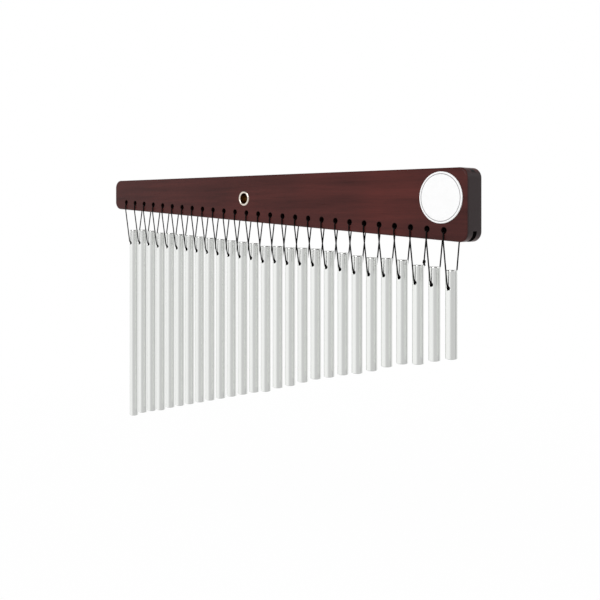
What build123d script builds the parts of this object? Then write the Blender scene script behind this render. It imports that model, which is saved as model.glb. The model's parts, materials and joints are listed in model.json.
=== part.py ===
"""Bar chimes: a wedge-shaped wooden bar with a row of aluminium rods hung on loops of cord.

Sizes are in millimetres. The origin is the centre of the stand eyelet's bore, halfway through the bar.
+X runs along the bar to its tall end, where the rods are shortest, -Y is the front and +Z is up.
"""

import os
from math import pi, radians, tan

from build123d import *

# The row of chimes
CHIME_COUNT = 27
CHIME_PITCH = 16.0
FIRST_CHIME_REACH = 189.0  # from the eyelet to the longest rod

# The wooden bar
BAR_THICKNESS = 20.0
BAR_TOP = 21.3  # the level top edge, above the eyelet's centre
BAR_LOW_END_HEIGHT = 30.5
BAR_TALL_END_HEIGHT = 57.3
LOW_END_MARGIN = 20.5  # from the first cord hole to the low end
TALL_END_MARGIN = 21.6  # from the last cord hole to the tall end
BAR_CORNER_RADIUS = 8.0
BAR_EDGE_ROUND = 1.8
CORD_HOLE_DIAMETER = 4.6
CORD_HOLE_RISE = 8.0  # above the bar's lower edge
CORD_HOLE_EASE = 0.6  # rounding at the mouths of the cord holes
GROOVE_WIDTH = 5.0
GROOVE_DEPTH = 8.7  # up from the bar's lower edge

# The eyelet for a stand's rod, and the washer that its far end is rolled over
EYELET_BORE = 9.4
EYELET_WALL = 0.6
EYELET_RIM_DIAMETER = 14.0
EYELET_RIM_HEIGHT = 1.1
EYELET_LIP_WIDTH = 0.9  # how far the rolled end stands out past the barrel
EYELET_LIP_HEIGHT = 0.8
EYELET_CLEARANCE = 0.05  # all round the barrel
WASHER_DIAMETER = 14.0
WASHER_THICKNESS = 0.9
WASHER_EDGE_ROUND = 0.3

# The round badge
BADGE_DIAMETER = 40.0
BADGE_THICKNESS = 0.9
BADGE_EDGE_ROUND = 0.4
BADGE_FROM_END = 24.3  # its centre, from the bar's tall end
BADGE_FROM_TOP = 22.8  # its centre, below the bar's top edge
BADGE_RING_INSET = 1.7  # from the rim to the middle of the fine ring
BADGE_RING_WIDTH = 0.5
BADGE_RING_DEPTH = 0.15

# The rods
ROD_DIAMETER = 9.5
ROD_LONGEST = 201.0
ROD_STEP = 5.08  # each rod is this much shorter than the last
ROD_CHAMFER = 0.4
ROD_HOLE_DIAMETER = 3.2
ROD_HOLE_DEPTH = 14.0  # below the rod's top
ROD_HOLE_EASE = 0.4  # rounding at the mouths of the cross-hole

# The cord loops
CORD_DIAMETER = 1.0
CORD_GAP = 0.3  # between a cord and what it runs over
CORD_BEND = 1.4  # radius over the lip of a hole
BEND_SHARE = 0.45  # share of the shorter run that an arc takes up
LOOP_DROP = 42.4  # from a cord hole down to the rod's cross-hole
TIED_LONGER = {
    1: 1.4,
    4: 0.9,
    14: 1.3,
    17: -1.1,
    18: -1.7,
    19: -1.2,
    20: -1.0,
    23: -1.0,
    24: -1.1,
    25: 1.5,
    26: 1.3,
    27: 2.3,
}
KNOT_DIAMETER = 2.8
KNOT_LENGTH = 3.6
KNOT_ROUND = 0.4
KNOT_JOIN = 0.4  # between the two cord ends inside a knot
TAIL_LENGTH = 3.2
TAIL_OFFSET = 0.7  # along the knot, either side of its centre
TAIL_LEAN = 8.0  # degrees either side of straight down
KNOT_RISE = {5: 7.5, 25: 15.5}  # knots that have slid out onto the back strand, above the cross-hole

# What follows from those sizes
CHIMES = range(1, CHIME_COUNT + 1)
FIRST_X = -FIRST_CHIME_REACH
BAR_LOW_END = FIRST_X - LOW_END_MARGIN
BAR_TALL_END = FIRST_X + CHIME_PITCH * (CHIME_COUNT - 1) + TALL_END_MARGIN
BAR_FRONT = -BAR_THICKNESS / 2
BAR_BACK = BAR_THICKNESS / 2
BARREL_RADIUS = EYELET_BORE / 2 + EYELET_WALL
FACE_STRAND_Y = BAR_THICKNESS / 2 + CORD_GAP + CORD_DIAMETER / 2
ROD_STRAND_Y = ROD_DIAMETER / 2 + CORD_GAP + CORD_DIAMETER / 2
TAIL_ROOT = (KNOT_DIAMETER + CORD_DIAMETER) / 4  # a tail starts halfway from the cord's skin to the knot's
BEND_SETBACK = CORD_BEND * (1 - tan(radians(22.5)))  # from a corner to each of the two points that round it


def chime_x(number):
    return FIRST_X + CHIME_PITCH * (number - 1)


def lower_edge(x):
    """Height of the bar's sloping lower edge."""
    share = (x - BAR_LOW_END) / (BAR_TALL_END - BAR_LOW_END)
    drop = BAR_LOW_END_HEIGHT + share * (BAR_TALL_END_HEIGHT - BAR_LOW_END_HEIGHT)
    return BAR_TOP - drop


def cord_hole_z(number):
    return lower_edge(chime_x(number)) + CORD_HOLE_RISE


def rod_hole_z(number):
    return cord_hole_z(number) - LOOP_DROP - TIED_LONGER.get(number, 0.0)


def rod_length(number):
    return ROD_LONGEST - ROD_STEP * (number - 1)


def bar_run_z(number):
    """The cord lies on the floor of its hole in the bar."""
    return cord_hole_z(number) - CORD_HOLE_DIAMETER / 2 + CORD_GAP + CORD_DIAMETER / 2


def rod_run_z(number):
    """The rod's cross-hole hangs with its ceiling on the cord."""
    return rod_hole_z(number) + ROD_HOLE_DIAMETER / 2 - CORD_GAP - CORD_DIAMETER / 2


def front_half(number):
    """The front half of a loop as (y, z) points, from the bar's hole to the rod's cross-hole."""
    top, low = bar_run_z(number), rod_run_z(number)
    knee = Vector(-FACE_STRAND_Y, lower_edge(chime_x(number)))
    mouth = Vector(-ROD_STRAND_Y, low)
    above_mouth = mouth + (knee - mouth).normalized() * BEND_SETBACK
    return [
        (-FACE_STRAND_Y + BEND_SETBACK, top),
        (-FACE_STRAND_Y, top - BEND_SETBACK),
        (knee.X, knee.Y),
        (above_mouth.X, above_mouth.Y),
        (-ROD_STRAND_Y + BEND_SETBACK, low),
    ]


def knot_place(number):
    """Centre of a knot as a (y, z) vector, and the way the cord runs through it."""
    if number not in KNOT_RISE:
        return Vector(0, bar_run_z(number)), Vector(1, 0)
    knee = Vector(FACE_STRAND_Y, lower_edge(chime_x(number)))
    mouth = Vector(ROD_STRAND_Y, rod_run_z(number))
    along = (mouth - knee).normalized()
    return mouth - along * KNOT_RISE[number], along * -1


def loop_route(number):
    """One loop as (y, z) points, from the knot all the way round to the knot."""
    front = front_half(number)
    back = [(-y, z) for y, z in reversed(front)]
    knot, along = knot_place(number)
    start = knot - along * (KNOT_JOIN / 2)
    finish = knot + along * (KNOT_JOIN / 2)
    if number in KNOT_RISE:
        round_from_knot = list(reversed(back[:2])) + list(reversed(front)) + list(reversed(back[2:]))
    else:
        round_from_knot = front + back
    return [(start.X, start.Y), *round_from_knot, (finish.X, finish.Y)]


def bend_radii(points):
    """Each arc is as large as its two runs allow."""
    radii = []
    for before, here, after in zip(points, points[1:], points[2:]):
        arriving = Vector(*here) - Vector(*before)
        leaving = Vector(*after) - Vector(*here)
        half_turn = radians(arriving.get_angle(leaving) / 2)
        radii.append(BEND_SHARE * min(arriving.length, leaving.length) / tan(half_turn))
    return radii


os.makedirs("parts", exist_ok=True)

# The bar: a wedge with rounded corners, a groove underneath, the cord holes and the hole for the eyelet
with BuildPart() as crossbar:
    with BuildSketch(Plane.XZ) as wedge:
        with BuildLine():
            Polyline(
                (BAR_LOW_END, BAR_TOP),
                (BAR_TALL_END, BAR_TOP),
                (BAR_TALL_END, lower_edge(BAR_TALL_END)),
                (BAR_LOW_END, lower_edge(BAR_LOW_END)),
                close=True,
            )
        make_face()
        fillet(wedge.vertices(), radius=BAR_CORNER_RADIUS)
    extrude(amount=BAR_THICKNESS / 2, both=True)
    fillet(crossbar.faces().filter_by(Axis.Y).edges(), radius=BAR_EDGE_ROUND)
    with BuildSketch(Plane.XZ):
        with Locations(*[(chime_x(number), cord_hole_z(number)) for number in CHIMES]):
            Circle(CORD_HOLE_DIAMETER / 2)
    extrude(amount=BAR_THICKNESS, both=True, mode=Mode.SUBTRACT)
    hole_mouths = crossbar.edges(Select.LAST).filter_by(GeomType.CIRCLE)
    fillet(hole_mouths, radius=CORD_HOLE_EASE)
    with BuildSketch(Plane.XZ):
        Circle(BARREL_RADIUS + EYELET_CLEARANCE)
    extrude(amount=BAR_THICKNESS, both=True, mode=Mode.SUBTRACT)
    past_low_end = BAR_LOW_END - BAR_THICKNESS
    past_tall_end = BAR_TALL_END + BAR_THICKNESS
    with BuildSketch(Plane.XZ):
        with BuildLine():
            Polyline(
                (past_low_end, lower_edge(past_low_end) + GROOVE_DEPTH),
                (past_tall_end, lower_edge(past_tall_end) + GROOVE_DEPTH),
                (past_tall_end, lower_edge(past_tall_end) - BAR_THICKNESS),
                (past_low_end, lower_edge(past_low_end) - BAR_THICKNESS),
                close=True,
            )
        make_face()
    extrude(amount=GROOVE_WIDTH / 2, both=True, mode=Mode.SUBTRACT)
crossbar.part.label = "crossbar"
export_step(crossbar.part, "parts/crossbar.step")

# The eyelet: a half-round rim in front, a barrel through the bar and a lip rolled over the washer behind
washer_back = BAR_BACK + WASHER_THICKNESS
rim_radius = EYELET_RIM_DIAMETER / 2
lip_radius = BARREL_RADIUS + EYELET_LIP_WIDTH
with BuildPart() as stand_eyelet:
    with BuildSketch(Plane.XY):
        with BuildLine():
            Polyline((BARREL_RADIUS, washer_back), (BARREL_RADIUS, BAR_FRONT), (rim_radius, BAR_FRONT))
            ThreePointArc(
                (rim_radius, BAR_FRONT),
                ((rim_radius + EYELET_BORE / 2) / 2, BAR_FRONT - EYELET_RIM_HEIGHT),
                (EYELET_BORE / 2, BAR_FRONT),
            )
            Line((EYELET_BORE / 2, BAR_FRONT), (EYELET_BORE / 2, washer_back))
            ThreePointArc(
                (EYELET_BORE / 2, washer_back),
                ((lip_radius + EYELET_BORE / 2) / 2, washer_back + EYELET_LIP_HEIGHT),
                (lip_radius, washer_back),
            )
            Line((lip_radius, washer_back), (BARREL_RADIUS, washer_back))
        make_face()
    revolve(axis=Axis.Y)
stand_eyelet.part.label = "stand_eyelet"
export_step(stand_eyelet.part, "parts/stand_eyelet.step")

# The washer, seated on the back of the bar
with BuildPart() as eyelet_washer:
    with BuildSketch(Plane.XZ.offset(-BAR_BACK)):
        Circle(WASHER_DIAMETER / 2)
        Circle(BARREL_RADIUS + EYELET_CLEARANCE, mode=Mode.SUBTRACT)
    extrude(amount=-WASHER_THICKNESS)
    back_rim = eyelet_washer.faces().sort_by(Axis.Y)[-1].outer_wire().edges()
    fillet(back_rim, radius=WASHER_EDGE_ROUND)
eyelet_washer.part.label = "eyelet_washer"
export_step(eyelet_washer.part, "parts/eyelet_washer.step")

# The badge: a thin disc on the front of the bar, with a fine ring sunk in its face near the rim
badge_centre = (BAR_TALL_END - BADGE_FROM_END, BAR_TOP - BADGE_FROM_TOP)
ring_radius = BADGE_DIAMETER / 2 - BADGE_RING_INSET
with BuildPart() as badge:
    with BuildSketch(Plane.XZ.offset(-BAR_FRONT)):
        with Locations(badge_centre):
            Circle(BADGE_DIAMETER / 2)
    extrude(amount=BADGE_THICKNESS)
    fillet(badge.faces().sort_by(Axis.Y)[0].edges(), radius=BADGE_EDGE_ROUND)
    with BuildSketch(Plane.XZ.offset(BADGE_THICKNESS - BAR_FRONT)):
        with Locations(badge_centre):
            Circle(ring_radius + BADGE_RING_WIDTH / 2)
            Circle(ring_radius - BADGE_RING_WIDTH / 2, mode=Mode.SUBTRACT)
    extrude(amount=-BADGE_RING_DEPTH, mode=Mode.SUBTRACT)
badge.part.label = "badge"
export_step(badge.part, "parts/badge.step")

# The rods: each a solid round bar with a cross-hole from front to back
for number in CHIMES:
    name = f"chime_rod_{number:02d}"
    with BuildPart() as chime_rod:
        with BuildSketch(Plane.XY.offset(rod_hole_z(number) + ROD_HOLE_DEPTH)):
            with Locations((chime_x(number), 0)):
                Circle(ROD_DIAMETER / 2)
        extrude(amount=-rod_length(number))
        chamfer(chime_rod.faces().filter_by(Axis.Z).edges(), length=ROD_CHAMFER)
        with BuildSketch(Plane.XZ):
            with Locations((chime_x(number), rod_hole_z(number))):
                Circle(ROD_HOLE_DIAMETER / 2)
        extrude(amount=ROD_DIAMETER, both=True, mode=Mode.SUBTRACT)
        cross_hole = chime_rod.faces(Select.LAST)
        fillet(cross_hole.edges().filter_by(GeomType.LINE, reverse=True), radius=ROD_HOLE_EASE)
    chime_rod.part.label = name
    export_step(chime_rod.part, f"parts/{name}.step")

# The loops: each a round cord through the bar and the rod, with its ends tied in a knot
for number in CHIMES:
    name = f"cord_loop_{number:02d}"
    points = loop_route(number)
    radii = bend_radii(points)
    loop_plane = Plane.YZ.offset(chime_x(number))
    knot, along = knot_place(number)
    with BuildPart() as cord_loop:
        with BuildLine(loop_plane) as route:
            FilletPolyline(*points, radius=radii)
        centreline = route.wire()
        with BuildSketch(Plane(origin=centreline @ 0, z_dir=centreline % 0)):
            Circle(CORD_DIAMETER / 2)
        sweep(path=centreline)
        tube_volume = cord_loop.part.volume
        knot_centre = loop_plane.from_local_coords(knot)
        knot_axis = loop_plane.from_local_coords(along) - loop_plane.origin
        with BuildSketch(Plane(origin=knot_centre, z_dir=knot_axis)):
            Circle(KNOT_DIAMETER / 2)
        knot_body = extrude(amount=KNOT_LENGTH / 2, both=True, mode=Mode.PRIVATE)
        add(knot_body.fillet(KNOT_ROUND, knot_body.edges().filter_by(GeomType.CIRCLE)))
        for side in (-1, 1):
            tail_way = Vector(0, 0, -1).rotate(Axis.X, side * TAIL_LEAN)
            tail_start = knot_centre + knot_axis * (side * TAIL_OFFSET) + tail_way * TAIL_ROOT
            with BuildSketch(Plane(origin=tail_start, z_dir=tail_way)):
                Circle(CORD_DIAMETER / 2)
            extrude(amount=TAIL_LENGTH)
    section = pi * CORD_DIAMETER**2 / 4
    print(
        f"{name}: {centreline.length:.1f} mm round, tightest bend {min(radii):.2f} mm, "
        f"tube volume over section times length {tube_volume / section / centreline.length:.4f}"
    )
    cord_loop.part.label = name
    export_step(cord_loop.part, f"parts/{name}.step")
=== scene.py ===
# %% [markdown]
# Bar chimes
#
# A wooden bar carries a row of aluminium rods, each hung on its own loop of black cord. The solids come from
# the imported frame, at their real size and in metres. This lesson gives them their finishes, ties the loops from
# smooth curves, lights the result and sets a camera on it.

# %% Load the frame
import json
from math import cos, radians, sin

import bpy
import numpy as np
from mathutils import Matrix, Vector


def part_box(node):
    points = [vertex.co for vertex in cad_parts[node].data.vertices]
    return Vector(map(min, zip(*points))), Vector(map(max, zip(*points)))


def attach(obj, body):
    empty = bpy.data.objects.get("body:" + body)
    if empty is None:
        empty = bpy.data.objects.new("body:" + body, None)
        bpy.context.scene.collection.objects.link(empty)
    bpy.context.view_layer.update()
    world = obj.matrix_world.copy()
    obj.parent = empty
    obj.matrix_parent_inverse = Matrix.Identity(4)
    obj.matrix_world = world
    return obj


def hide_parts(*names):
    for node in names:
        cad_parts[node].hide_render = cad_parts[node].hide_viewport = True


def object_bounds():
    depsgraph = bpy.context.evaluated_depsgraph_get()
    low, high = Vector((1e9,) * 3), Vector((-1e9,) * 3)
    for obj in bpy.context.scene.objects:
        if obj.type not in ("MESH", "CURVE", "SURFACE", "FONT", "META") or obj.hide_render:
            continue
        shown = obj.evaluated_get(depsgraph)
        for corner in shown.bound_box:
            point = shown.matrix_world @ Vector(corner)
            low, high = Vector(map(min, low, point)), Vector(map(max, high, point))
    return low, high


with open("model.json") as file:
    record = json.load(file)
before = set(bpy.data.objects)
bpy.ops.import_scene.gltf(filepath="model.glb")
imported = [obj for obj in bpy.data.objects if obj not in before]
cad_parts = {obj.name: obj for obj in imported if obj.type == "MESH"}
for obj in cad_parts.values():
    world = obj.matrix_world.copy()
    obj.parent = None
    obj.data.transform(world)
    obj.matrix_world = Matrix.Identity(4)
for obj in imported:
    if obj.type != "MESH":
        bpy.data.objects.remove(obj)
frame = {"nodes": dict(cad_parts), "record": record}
cad_box = [list(map(float, corner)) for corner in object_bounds()]
nodes = frame["nodes"]
joints = {joint["name"]: joint for joint in frame["record"]["behaviour"]["joints"]}
NUMBERS = sorted(name.removeprefix("swing_") for name in joints if name.startswith("swing_"))
print(f"{len(nodes)} solids, {len(NUMBERS)} chimes, box {np.round(cad_box, 4).tolist()}")

# %% [markdown]
# Shader maths as expressions
#
# A finish is a small sum: streaks times a strength, one minus a mask. Building such a sum by hand takes a node
# and two links for each sign. Here a Wire stands for a number on its way through the nodes, and Python's own
# operators add the Math nodes. Every other node comes from the one method `node` of a Sheet.

# %% Wires and sheets


class Wire:
    """A number, colour or vector leaving a node. Arithmetic on a number adds Math nodes."""

    def __init__(self, sheet, socket):
        self.sheet = sheet
        self.socket = socket

    def math(self, operation, first, second=0.0, clamp=False):
        settings = {"operation": operation, "use_clamp": clamp}
        return self.sheet.node("ShaderNodeMath", settings, {0: first, 1: second})

    def __add__(self, other):
        return self.math("ADD", self, other)

    def __radd__(self, other):
        return self.math("ADD", other, self)

    def __sub__(self, other):
        return self.math("SUBTRACT", self, other)

    def __rsub__(self, other):
        return self.math("SUBTRACT", other, self)

    def __mul__(self, other):
        return self.math("MULTIPLY", self, other)

    def __rmul__(self, other):
        return self.math("MULTIPLY", other, self)

    def __truediv__(self, other):
        return self.math("DIVIDE", self, other)

    def __pow__(self, other):
        return self.math("POWER", self, other)

    def __abs__(self):
        return self.math("ABSOLUTE", self)

    def clamped(self):
        return self.math("ADD", self, 0.0, clamp=True)


class Sheet:
    """The node tree of one material or of the world."""

    def __init__(self, tree):
        self.tree = tree
        tree.nodes.clear()

    def node(self, kind, settings=None, inputs=None, output=0):
        made = self.tree.nodes.new(kind)
        for name, value in (settings or {}).items():
            setattr(made, name, value)
        for name, value in (inputs or {}).items():
            if isinstance(value, Wire):
                self.tree.links.new(value.socket, made.inputs[name])
            else:
                made.inputs[name].default_value = value
        return Wire(self, made.outputs[output]) if made.outputs else None

    def stretched(self, coordinates, scale):
        return self.node("ShaderNodeMapping", {}, {"Vector": coordinates, "Scale": scale})

    def noise(self, coordinates, scale=1.0, detail=3.0, roughness=0.55):
        inputs = {"Vector": coordinates, "Scale": scale, "Detail": detail, "Roughness": roughness}
        return self.node("ShaderNodeTexNoise", {}, inputs)

    def blend(self, share, first, second):
        """From the first colour to the second as share goes from 0 to 1."""
        mix = {"data_type": "RGBA", "clamp_factor": True}
        return self.node("ShaderNodeMix", mix, {0: share, 6: first, 7: second}, output=2)

    def bump(self, height, strength, distance):
        return self.node("ShaderNodeBump", {}, {"Height": height, "Strength": strength, "Distance": distance})


def finish(name, recipe):
    """A material whose recipe returns the Principled shader's inputs."""
    material = bpy.data.materials.new(name)
    material.use_nodes = True
    sheet = Sheet(material.node_tree)
    shader = sheet.node("ShaderNodeBsdfPrincipled", {}, recipe(sheet))
    sheet.node("ShaderNodeOutputMaterial", {}, {"Surface": shader})
    print(f"finish {name}: {len(sheet.tree.nodes)} nodes")
    return material


def dress(node_name, material):
    """Give a solid from the frame its finish."""
    for slot in nodes[node_name].material_slots:
        slot.material = material


# %% [markdown]
# Places in the row
#
# The rods and their cord holes repeat along X, so one helper serves both: it folds X into the distance from the
# nearest chime's middle, which turns a pattern for one chime into a pattern for the whole row.

# %% The row as coordinates
FIRST_HOLE, LAST_HOLE = (np.array(joints[f"swing_{number}"]["pos_m"]) for number in (NUMBERS[0], NUMBERS[-1]))
ROD_PITCH = float(LAST_HOLE[0] - FIRST_HOLE[0]) / (len(NUMBERS) - 1)
ROW_START = float(FIRST_HOLE[0]) - ROD_PITCH / 2
ROW_END = float(LAST_HOLE[0]) + ROD_PITCH / 2


def part_of(sheet, vector, axis):
    """One coordinate of a vector."""
    return sheet.node("ShaderNodeSeparateXYZ", {}, {0: vector}, output=axis)


def from_chime(sheet, place):
    """Distance along X from the middle of the nearest place in the row."""
    along_row = part_of(sheet, place, "X") - ROW_START
    return along_row.math("FLOORED_MODULO", along_row, ROD_PITCH) - ROD_PITCH / 2


print(f"row from {ROW_START:.3f} to {ROW_END:.3f} m, pitch {ROD_PITCH * 1000:.1f} mm")

# %% [markdown]
# The stained bar
#
# The bar is one length of hardwood with a dark red-brown stain and satin lacquer. Its grain runs along X. Noise
# that is stretched along X gives the streaks, and finer noise, cut off high, gives the short dark pores. On the
# end faces the same noise shows as specks, as end grain does. End grain also drinks more stain, so faces that
# look along X are darker; their greyer tone is a painted reflection. The groove underneath is painted near
# black as shade: the wood near the middle of the bar's thickness that is neither its top nor an end. The drilled
# cord holes are painted dark inside as shade, with a dark ring round each mouth.

# %% Wood finish
STAIN_DARK = (0.034, 0.0096, 0.0088, 1)
STAIN_MID = (0.069, 0.0183, 0.0162, 1)
STAIN_WARM = (0.112, 0.0225, 0.0182, 1)
PORE_BROWN = (0.020, 0.007, 0.0065, 1)
# End-grain colour: darker as end grain is, and greyer as a painted reflection.
END_GRAIN_AND_SHEEN = (0.029, 0.021, 0.0215, 1)
# Near black for the groove underneath and the hole walls there: painted shade.
GROOVE_SHADE_BLACK = (0.004, 0.003, 0.003, 1)
GROOVE_HALF = 0.0026
GROOVE_EDGE = 0.00005
TOP_SKIN = 0.001
TOP_EDGE = 0.0002
ROW_EDGE = 0.0001
# Painted shade inside the cord holes, and a dark ring round each mouth.
HOLE_MOUTH_SHADE = (0.008, 0.0028, 0.0026, 1)
MOUTH_RADIUS = 0.0029
MOUTH_SOFTNESS = 0.0004
HOLE_ABOVE_CORD = 0.0015
HOLE_SLOPE = float((LAST_HOLE[2] - FIRST_HOLE[2]) / (LAST_HOLE[0] - FIRST_HOLE[0]))
FIRST_HOLE_HEIGHT = float(FIRST_HOLE[2]) + HOLE_ABOVE_CORD
BAR_LOW, BAR_HIGH = (np.array(corner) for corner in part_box("crossbar"))
GRAIN_SCALE = (7, 90, 120)
FINE_GRAIN_SCALE = (26, 420, 560)
PORE_SCALE = (85, 1500, 1900)
PORE_CUT = 0.58


def stained_wood(sheet):
    place = sheet.node("ShaderNodeTexCoord", output="Object")
    streaks = sheet.noise(sheet.stretched(place, GRAIN_SCALE), detail=4)
    fine = sheet.noise(sheet.stretched(place, FINE_GRAIN_SCALE), detail=3)
    cloud = sheet.noise(place, scale=9, detail=2)
    pores = ((sheet.noise(sheet.stretched(place, PORE_SCALE), detail=2) - PORE_CUT) * 7).clamped()
    ground = sheet.blend(streaks * 2.1 - 0.5 + (fine - 0.5) * 0.8, STAIN_DARK, STAIN_MID)
    warm = sheet.blend((cloud - 0.45) * 2.4 * streaks, ground, STAIN_WARM)
    facing = sheet.node("ShaderNodeTexCoord", output="Normal")
    endways = abs(part_of(sheet, facing, "X"))
    # Faces that look along X take the darker end grain with its greyer painted reflection.
    stained = sheet.blend((endways - 0.55) * 2.5, warm, END_GRAIN_AND_SHEEN)
    along = part_of(sheet, place, "X")
    depth = abs(part_of(sheet, place, "Y"))
    height = part_of(sheet, place, "Z")
    middle = ((GROOVE_HALF - depth) / GROOVE_EDGE).clamped()
    under = ((float(BAR_HIGH[2]) - TOP_SKIN - height) / TOP_EDGE).clamped()
    # The groove mask paints shade in the middle of the thickness, away from the top and the ends.
    groove_shade = middle * under * ((0.9 - endways) * 10).clamped()
    across = from_chime(sheet, place)
    hole_height = FIRST_HOLE_HEIGHT + (along - across - float(FIRST_HOLE[0])) * HOLE_SLOPE
    from_hole = (abs(across) ** 2 + abs(height - hole_height) ** 2) ** 0.5
    in_row = ((along - ROW_START) / ROW_EDGE).clamped() * ((ROW_END - along) / ROW_EDGE).clamped()
    # The mouth mask paints shade inside each cord hole and darkens a ring round it.
    mouth = ((MOUTH_RADIUS - from_hole) / MOUTH_SOFTNESS).clamped() * in_row
    # The pored stain with the painted shade of the cord holes laid over it.
    pored_with_hole_shade = sheet.blend(mouth, sheet.blend(pores * 0.45, stained, PORE_BROWN), HOLE_MOUTH_SHADE)
    return {
        "Base Color": sheet.blend(groove_shade, pored_with_hole_shade, GROOVE_SHADE_BLACK),
        "Roughness": 0.25 + pores * 0.12 + fine * 0.08,
        "Specular IOR Level": 0.11,
        "Normal": sheet.bump(fine - pores * 0.6, 0.12, 0.0002),
    }


dress("crossbar", finish("stained_wood", stained_wood))

# %% [markdown]
# The aluminium rods
#
# The rods are drawn bar, cut to length. Drawing leaves very fine lines along the rod, so the noise is stretched
# along Z and feeds roughness and a slight bump. A slow noise across the row makes each rod a little lighter or
# darker than the next, as cut lengths from several bars are. The drilled cross-hole is painted near black as
# shade: it is the metal that lies inside the rod's skin and doesn't look up or down, as the cut ends do.

# %% Rod finish
ALUMINIUM = (0.885, 0.895, 0.875, 1)
ALUMINIUM_DULL = (0.82, 0.835, 0.82, 1)
# Painted shade inside each rod's cross-hole.
CROSS_HOLE_SHADE = (0.018, 0.017, 0.016, 1)
ROD_RADIUS = 0.00475
HOLE_SKIN = 0.00055
DRAWN_LINE_SCALE = (1400, 1400, 9)
ROD_TO_ROD_SCALE = (62, 3, 1)


def rod_aluminium(sheet):
    place = sheet.node("ShaderNodeTexCoord", output="Object")
    lines = sheet.noise(sheet.stretched(place, DRAWN_LINE_SCALE), detail=2)
    rods = sheet.noise(sheet.stretched(place, ROD_TO_ROD_SCALE), detail=1)
    handled = sheet.noise(place, scale=70, detail=3)
    dull = (lines - 0.5) * 0.5 + rods * 0.7 + (handled - 0.5) * 0.3
    from_axis = (abs(from_chime(sheet, place)) ** 2 + abs(part_of(sheet, place, "Y")) ** 2) ** 0.5
    facing = sheet.node("ShaderNodeTexCoord", output="Normal")
    upright = abs(part_of(sheet, facing, "Z"))
    # The inside mask paints shade on the cross-hole's walls.
    inside = ((ROD_RADIUS - from_axis) / HOLE_SKIN - 0.5).clamped() * ((0.98 - upright) * 50).clamped()
    metal = sheet.blend(dull, ALUMINIUM, ALUMINIUM_DULL)
    return {
        "Base Color": sheet.blend(inside, metal, CROSS_HOLE_SHADE),
        "Metallic": 1.0,
        "Roughness": 0.17 + lines * 0.1 + handled * 0.05,
        "Normal": sheet.bump(lines, 0.05, 0.0001),
    }


rod_finish = finish("rod_aluminium", rod_aluminium)
for number in NUMBERS:
    dress(f"chime_rod_{number}", rod_finish)

# %% [markdown]
# The eyelet and the badge
#
# The eyelet is nickel plated, with a warm tint that is a painted reflection of the wood, and its barrel is
# painted darker as shade. The badge is a white disc.
# Its fine ring is sunk in the solid, and the finish only has to darken it. The ring is a distance from the disc's
# middle, so its mask is one line of arithmetic on the coordinates.

# %% Eyelet and badge finishes
# Both nickel colours are plating with a painted warm reflection of the wood.
NICKEL_WITH_WOOD_REFLECTION = (0.80, 0.725, 0.645, 1)
NICKEL_DULL_WITH_WOOD_REFLECTION = (0.66, 0.58, 0.50, 1)
# A darker brown for the eyelet's barrel: painted shade inside the bore.
BARREL_SHADE_BROWN = (0.260, 0.160, 0.060, 1)
BARREL_RADIUS = 0.0047
BARREL_SOFTNESS = 0.00012
BADGE_WHITE = (0.84, 0.84, 0.845, 1)
BADGE_SOFT_WHITE = (0.80, 0.80, 0.80, 1)
RING_GREY = (0.20, 0.20, 0.205, 1)
RING_INSET = 0.0017
RING_HALF_WIDTH = 0.00028
RING_SOFTNESS = 0.00008

badge_low, badge_high = (np.array(corner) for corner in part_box("badge"))
badge_middle = (badge_low + badge_high) / 2
ring_radius = float(badge_high[0] - badge_low[0]) / 2 - RING_INSET


def nickel(sheet):
    place = sheet.node("ShaderNodeTexCoord", output="Object")
    wear = sheet.noise(place, scale=420, detail=4)
    across = part_of(sheet, place, "X")
    upward = part_of(sheet, place, "Z")
    from_bore = (across * across + upward * upward) ** 0.5 - BARREL_RADIUS
    # The barrel mask paints shade on the bore's wall and its inner lip.
    barrel_shade = (2 - from_bore / BARREL_SOFTNESS).clamped()
    # The plate colour carries the painted reflection of the wood.
    plate = sheet.blend((wear - 0.45) * 1.4, NICKEL_WITH_WOOD_REFLECTION, NICKEL_DULL_WITH_WOOD_REFLECTION)
    return {
        "Base Color": sheet.blend(barrel_shade, plate, BARREL_SHADE_BROWN),
        "Metallic": 1.0,
        "Roughness": 0.13 + wear * 0.16,
        "Normal": sheet.bump(wear, 0.06, 0.0001),
    }


def white_badge(sheet):
    place = sheet.node("ShaderNodeTexCoord", output="Object")
    across = part_of(sheet, place, "X") - float(badge_middle[0])
    upward = part_of(sheet, place, "Z") - float(badge_middle[2])
    from_ring = abs((across * across + upward * upward) ** 0.5 - ring_radius)
    ring = (1 - (from_ring - RING_HALF_WIDTH) / RING_SOFTNESS).clamped()
    mottle = sheet.noise(place, scale=160, detail=3)
    white = sheet.blend(mottle, BADGE_WHITE, BADGE_SOFT_WHITE)
    return {
        "Base Color": sheet.blend(ring * 0.8, white, RING_GREY),
        "Roughness": 0.2 + mottle * 0.08,
    }


nickel_finish = finish("nickel", nickel)
dress("stand_eyelet", nickel_finish)
dress("eyelet_washer", nickel_finish)
dress("badge", finish("white_badge", white_badge))
print(f"badge ring radius {ring_radius * 1000:.1f} mm")

# %% [markdown]
# The cord loops
#
# Each loop is thin black laid cord. It goes through the bar, down both faces, in to the rod and through its
# cross-hole, and the ends meet in a knot. The route is a short list of points chosen from the pieces that the
# cord goes round, and a NURBS curve that they steer gives a smooth line. A tube is then a round profile carried
# along that line, with three soft lobes that turn as it goes, which is what laid cord looks like.

# %% Tubes and lines
CORD_DIAMETER = 0.0012
CORD_LOBES = 3
LOBE_DEPTH = 0.06
LAY_LENGTH = 0.0042
CORD_SIDES = 12
ROUTE_STEPS = 22
SAME_POINT = 1e-6


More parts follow.
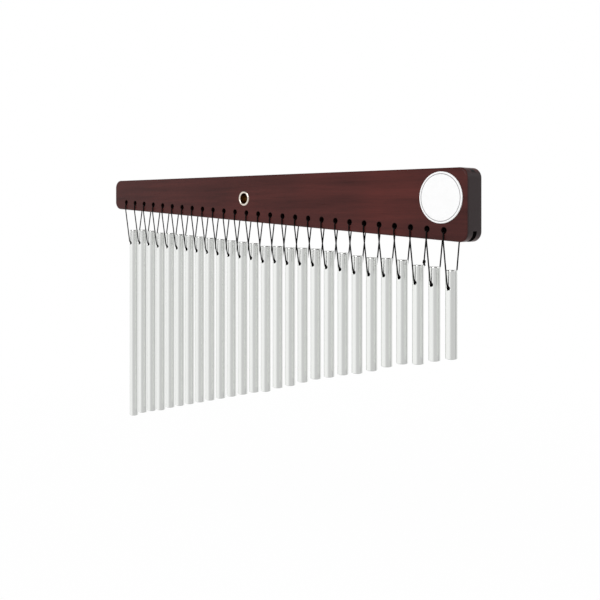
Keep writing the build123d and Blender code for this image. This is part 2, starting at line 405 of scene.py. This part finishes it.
def smooth_line(points):
    """Points along the NURBS curve that the route's points control."""
    curve = bpy.data.curves.new("route", "CURVE")
    curve.dimensions = "3D"
    spline = curve.splines.new("NURBS")
    spline.points.add(len(points) - 1)
    spline.points.foreach_set("co", np.column_stack([points, np.ones(len(points))]).ravel())
    spline.order_u = 3
    spline.use_endpoint_u = True
    spline.resolution_u = ROUTE_STEPS
    holder = bpy.data.objects.new("route", curve)
    mesh = bpy.data.meshes.new_from_object(holder)
    line = np.zeros(len(mesh.vertices) * 3)
    mesh.vertices.foreach_get("co", line)
    line = line.reshape(-1, 3)
    bpy.data.meshes.remove(mesh)
    bpy.data.curves.remove(curve)
    moved = np.r_[True, np.linalg.norm(np.diff(line, axis=0), axis=1) > SAME_POINT]
    return line[moved]


def unit(vectors):
    """The same directions, each of length one."""
    return vectors / np.linalg.norm(vectors, axis=-1, keepdims=True)


def laid_tube(line, side, closed=False):
    """Rings round a line: radius times (side cos a + other sin a), with lobes that turn with the length."""
    if closed:
        along = unit(np.roll(line, -1, axis=0) - np.roll(line, 1, axis=0))
    else:
        along = unit(np.gradient(line, axis=0))
    side = unit(side - (side * along).sum(1, keepdims=True) * along)
    other = np.cross(along, side)
    gone = np.r_[0, np.cumsum(np.linalg.norm(np.diff(line, axis=0), axis=1))]
    angle = np.linspace(0, 2 * np.pi, CORD_SIDES, endpoint=False)
    turn = 2 * np.pi * gone[:, None] / LAY_LENGTH
    radius = CORD_DIAMETER / 2 * (1 - LOBE_DEPTH + LOBE_DEPTH * np.cos(CORD_LOBES * (angle - turn)))
    spoke = side[:, None] * np.cos(angle)[:, None] + other[:, None] * np.sin(angle)[:, None]
    rings = line[:, None] + radius[..., None] * spoke
    count = len(line)
    ring = np.arange(count if closed else count - 1)[:, None] * CORD_SIDES
    near = np.arange(CORD_SIDES)[None]
    far = (near + 1) % CORD_SIDES
    ahead = (ring + CORD_SIDES) % (count * CORD_SIDES)
    quads = np.stack([ring + near, ring + far, ahead + far, ahead + near], axis=-1).reshape(-1, 4)
    ends = [] if closed else [near[0, ::-1], near[0] + (count - 1) * CORD_SIDES]
    return rings.reshape(-1, 3), quads, ends


def piece(name, shells, material):
    """One object from a list of (points, quads, end caps) shells, smooth, at the origin."""
    points, faces = [], []
    for shell_points, quads, ends in shells:
        start = len(points)
        points += shell_points.tolist()
        faces += (quads + start).tolist()
        faces += [(end + start).tolist() for end in ends]
    mesh = bpy.data.meshes.new(name)
    mesh.from_pydata(points, [], faces)
    mesh.polygons.foreach_set("use_smooth", np.ones(len(faces), bool))
    mesh.materials.append(material)
    made = bpy.data.objects.new(name, mesh)
    bpy.context.scene.collection.objects.link(made)
    return made


# %% [markdown]
# Black cord
#
# Waxed black cord is nearly matt. The lobes of the lay are in the mesh, so the finish only adds the fuzz of
# fine fibres: a small noise in colour, roughness and bump.

# %% Cord finish
CORD_BLACK = (0.0022, 0.002, 0.002, 1)
CORD_WORN = (0.010, 0.0092, 0.009, 1)


def black_cord(sheet):
    place = sheet.node("ShaderNodeTexCoord", output="Object")
    fibres = sheet.noise(place, scale=2600, detail=3)
    return {
        "Base Color": sheet.blend((fibres - 0.4) * 1.5, CORD_BLACK, CORD_WORN),
        "Roughness": 0.62 + fibres * 0.25,
        "Specular IOR Level": 0.08,
        "Normal": sheet.bump(fibres, 0.3, 0.0001),
    }


cord_finish = finish("black_cord", black_cord)

# %% [markdown]
# Where a loop runs
#
# The two hinges of a chime lie on the cord's own run through the bar and through the rod, so they give the
# heights. The other points stand off the bar's faces and the rod by the cord's half thickness and a little air.
# Two extra points on each strand, six diameters from the edge that it leaves and as far from the rod, keep the
# hanging part straight, as a cord with a weight on it is.

# %% Loop routes
CORD_AIR = 0.0002
FACE_STRAND = float(BAR_HIGH[1]) + CORD_AIR + CORD_DIAMETER / 2
ROD_STRAND = ROD_RADIUS + CORD_AIR + CORD_DIAMETER / 2
LIP_SETBACK = 0.00082
KNEE_DROP = 0.0065
STRAIGHT_FROM = 6 * CORD_DIAMETER
KNOT_JOIN = 0.0004
KNOT_RISE = {"05": 0.0075, "25": 0.0155}


def front_half(top, low):
    """Points (y, z) from the bar's hole to the rod's cross-hole, down the front."""
    knee = np.array([-FACE_STRAND, top - KNEE_DROP])
    mouth = np.array([-ROD_STRAND, low])
    down = unit(mouth - knee)
    return [
        (-FACE_STRAND + LIP_SETBACK, top),
        (-FACE_STRAND, top - LIP_SETBACK),
        tuple(knee),
        tuple(knee + down * STRAIGHT_FROM),
        tuple(mouth - down * STRAIGHT_FROM),
        tuple(mouth - down * LIP_SETBACK),
        (-ROD_STRAND + LIP_SETBACK, low),
    ]


def loop_route(number):
    """The loop's points, the knot's centre and the way the cord runs through the knot."""
    top = joints[f"swing_{number}"]["pos_m"]
    low = joints[f"tilt_{number}"]["pos_m"]
    front = front_half(top[2], low[2])
    back = [(-y, z) for y, z in reversed(front)]
    if number in KNOT_RISE:
        knee = np.array([FACE_STRAND, top[2] - KNEE_DROP])
        mouth = np.array([ROD_STRAND, low[2]])
        along = unit(knee - mouth)
        knot = mouth + along * KNOT_RISE[number]
        below = [point for point in back[:3] if point[1] < knot[1] - KNOT_JOIN]
        above = [point for point in back if point[1] > knot[1] + KNOT_JOIN]
        ring = below[::-1] + front[::-1] + above[::-1]
    else:
        knot = np.array([0.0, top[2]])
        along = np.array([1.0, 0.0])
        ring = front + back
    flat = np.array([knot - along * KNOT_JOIN / 2, *ring, knot + along * KNOT_JOIN / 2])
    points = np.column_stack([np.full(len(flat), top[0]), flat])
    return points, np.array([top[0], *knot]), np.array([0.0, *along])


# %% [markdown]
# Knots
#
# An overhand knot pulled tight is close to a trefoil, the simplest knot: x = sin t + 2 sin 2t,
# y = cos t - 2 cos 2t, z = -sin 3t. Stretched along the cord and given the cord's thickness it reads as a real
# tied knot, and two short cut ends come out below it.

# %% Knot shapes
KNOT_RADIUS = 0.0014
KNOT_REACH = 0.00095
KNOT_STEPS = 130
TAIL_LENGTH = 0.0032
TAIL_OFFSET = 0.0007
TAIL_ROOT = 0.0009
TAIL_LEAN = radians(8)
TAIL_CURL = 0.0004
TAIL_STEPS = 14
ACROSS = np.array([1.0, 0.0, 0.0])


def tied_knot(centre, along):
    """A trefoil round the cord's way: sines and cosines of one, two and three turns, as in the text above."""
    turn = np.linspace(0, 2 * np.pi, KNOT_STEPS, endpoint=False)[:, None]
    size = (KNOT_RADIUS - CORD_DIAMETER / 2) / 3
    other = np.cross(along, ACROSS)
    wide = (np.sin(turn) + 2 * np.sin(2 * turn)) * size
    high = (np.cos(turn) - 2 * np.cos(2 * turn)) * size
    line = centre + wide * ACROSS + high * other - np.sin(3 * turn) * KNOT_REACH * along
    return laid_tube(line, line - centre, closed=True)


def cut_tail(centre, along, side):
    """A short straight end that leans outward and bends sideways with the square of the share gone."""
    share = np.linspace(0, 1, TAIL_STEPS)[:, None]
    way = np.array([0.0, side * sin(TAIL_LEAN), -cos(TAIL_LEAN)])
    start = centre + along * side * TAIL_OFFSET + way * TAIL_ROOT
    line = start + way * TAIL_LENGTH * share + ACROSS * side * TAIL_CURL * share**2
    return laid_tube(line, ACROSS)


# %% Tie the loops
for number in NUMBERS:
    points, knot_centre, along = loop_route(number)
    line = smooth_line(points)
    cord = piece(f"loop_cord_{number}", [laid_tube(line, ACROSS)], cord_finish)
    shells = [tied_knot(knot_centre, along)]
    shells += [cut_tail(knot_centre, along, side) for side in (-1, 1)]
    knot = piece(f"loop_knot_{number}", shells, cord_finish)
    for part in (cord, knot):
        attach(part, f"loop_{number}")
    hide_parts(f"cord_loop_{number}")
    number in KNOT_RISE

# %% [markdown]
# The floor
#
# The chimes hang in the air in front of white. A pale floor lies well below them. It is nearly white to the
# camera and still takes a soft shadow, because part of what the camera sees there is plain diffuse paint. Farther
# out that part fades away, so the floor meets the white room without a line.

# %% Floor
FLOOR_DROP = 0.12
FLOOR_HALF = 6.0
FLOOR_PALE = (0.86, 0.86, 0.86, 1)
FLOOR_GLOW_SHARE = 0.97
FLOOR_FADE_FROM = 0.40
FLOOR_FADE_OVER = 0.8

floor_z = cad_box[0][2] - FLOOR_DROP
corners = np.array([(-1, -1), (1, -1), (1, 1), (-1, 1)]) * FLOOR_HALF
floor_mesh = bpy.data.meshes.new("floor")
floor_mesh.from_pydata(np.column_stack([corners, np.full(4, floor_z)]).tolist(), [], [(0, 1, 2, 3)])
floor = bpy.data.objects.new("floor", floor_mesh)
bpy.context.scene.collection.objects.link(floor)
floor_paint = bpy.data.materials.new("floor_paint")
floor_paint.use_nodes = True
sheet = Sheet(floor_paint.node_tree)
paint = sheet.node("ShaderNodeBsdfDiffuse", {}, {"Color": FLOOR_PALE})
glow = sheet.node("ShaderNodeEmission", {}, {"Color": (1, 1, 1, 1), "Strength": 1.0})
place = sheet.node("ShaderNodeTexCoord", output="Object")
reach = sheet.node("ShaderNodeVectorMath", {"operation": "LENGTH"}, {0: place}, output="Value")
fade = ((reach - FLOOR_FADE_FROM) / FLOOR_FADE_OVER).clamped()
seen = sheet.node("ShaderNodeLightPath", output="Is Camera Ray")
share = seen * (FLOOR_GLOW_SHARE + fade * (1 - FLOOR_GLOW_SHARE))
surface = sheet.node("ShaderNodeMixShader", {}, {0: share, 1: paint, 2: glow})
sheet.node("ShaderNodeOutputMaterial", {}, {"Surface": surface})
floor_mesh.materials.append(floor_paint)
floor.visible_glossy = False
print(f"floor at z {floor_z:.3f} m")

# %% [markdown]
# Light
#
# A white room lights the chimes from all round, and two large soft lamps give the front and the end face their
# shape. Metal shows what is round it, so the room isn't equally bright to reflections. It dims in a wide soft
# patch beside the camera, which shades the right side of each rod, and in a narrow one behind on the right, which
# draws a thin line there. Shade above and below gives the rods' cut ends their dark edges.

# %% World and lamps
ROOM_LIGHT = 0.62
ROOM_SEEN = 1.0
DIM_PATCHES = [
    ((0.963, -0.269, 0.0), 0.20, 0.50, 0.35),
    ((0.70, 0.714, 0.0), 0.88, 0.10, 0.28),
    ((0.0, 0.0, 1.0), 0.30, 0.30, 0.80),
    ((0.0, 0.0, -1.0), 0.60, 0.40, 0.50),
]

world = bpy.data.worlds.new("white_room")
bpy.context.scene.world = world
world.use_nodes = True
sheet = Sheet(world.node_tree)
facing = sheet.node("ShaderNodeTexCoord", output="Generated")


def dim_patch(way, edge, softness, depth):
    """A patch of shade round one direction: none past its edge, and full depth a softness further in."""
    toward = sheet.node("ShaderNodeVectorMath", {"operation": "DOT_PRODUCT"}, {0: facing, 1: way}, output="Value")
    inside = ((toward - edge) / softness).clamped()
    return inside * depth


reflected = ROOM_SEEN - sum(dim_patch(*patch) for patch in DIM_PATCHES)
to_camera = sheet.node("ShaderNodeLightPath", output="Is Camera Ray")
to_gloss = sheet.node("ShaderNodeLightPath", output="Is Glossy Ray")
through = sheet.node("ShaderNodeLightPath", output="Is Transmission Ray")
plain = 1 - (to_camera + to_gloss + through).clamped()
strength = plain * ROOM_LIGHT + (to_camera + through).clamped() * ROOM_SEEN + to_gloss * reflected
room = sheet.node("ShaderNodeBackground", {}, {"Color": (1, 1, 1, 1), "Strength": strength})
sheet.node("ShaderNodeOutputWorld", {}, {"Surface": room})


def soft_lamp(name, place, aim, size, power):
    """A square area lamp at a place, turned to face a point."""
    data = bpy.data.lights.new(name, "AREA")
    data.size = size
    data.energy = power
    lamp = bpy.data.objects.new(name, data)
    bpy.context.scene.collection.objects.link(lamp)
    lamp.location = place
    way = np.array(aim) - np.array(place)
    lamp.rotation_euler = Vector(way).to_track_quat("-Z", "Y").to_euler()
    print(f"{name}: {power} W, {size} m square")


soft_lamp("front_lamp", (0.25, -1.5, 1.0), (0.0, 0.0, -0.05), 1.3, 20)
soft_lamp("end_lamp", (1.7, 0.5, 0.7), (0.1, 0.0, -0.05), 1.1, 9)

# %% [markdown]
# Camera
#
# The photograph keeps its verticals upright, so the camera is level and its frame is shifted down. The even
# spacing of the cord holes gave the place and the lens.

# %% Camera
VIEW_AZIMUTH = radians(44.3)
CAMERA_PLACE = (0.643, -0.594, -0.0125)
LENS = 55.5
SENSOR = 36.0
FRAME_SHIFT = -0.147
NEAREST_SEEN = 0.01

camera_data = bpy.data.cameras.new("camera")
camera_data.lens = LENS
camera_data.sensor_width = SENSOR
camera_data.shift_y = FRAME_SHIFT
camera_data.clip_start = NEAREST_SEEN
camera = bpy.data.objects.new("camera", camera_data)
bpy.context.scene.collection.objects.link(camera)
camera.location = CAMERA_PLACE
camera.rotation_euler = (radians(90), 0.0, VIEW_AZIMUTH)
bpy.context.scene.camera = camera
bpy.context.scene.view_settings.view_transform = "Standard"
print(f"camera at {CAMERA_PLACE} m, lens {LENS} mm")

# %% Update the view layer
bpy.context.view_layer.update()
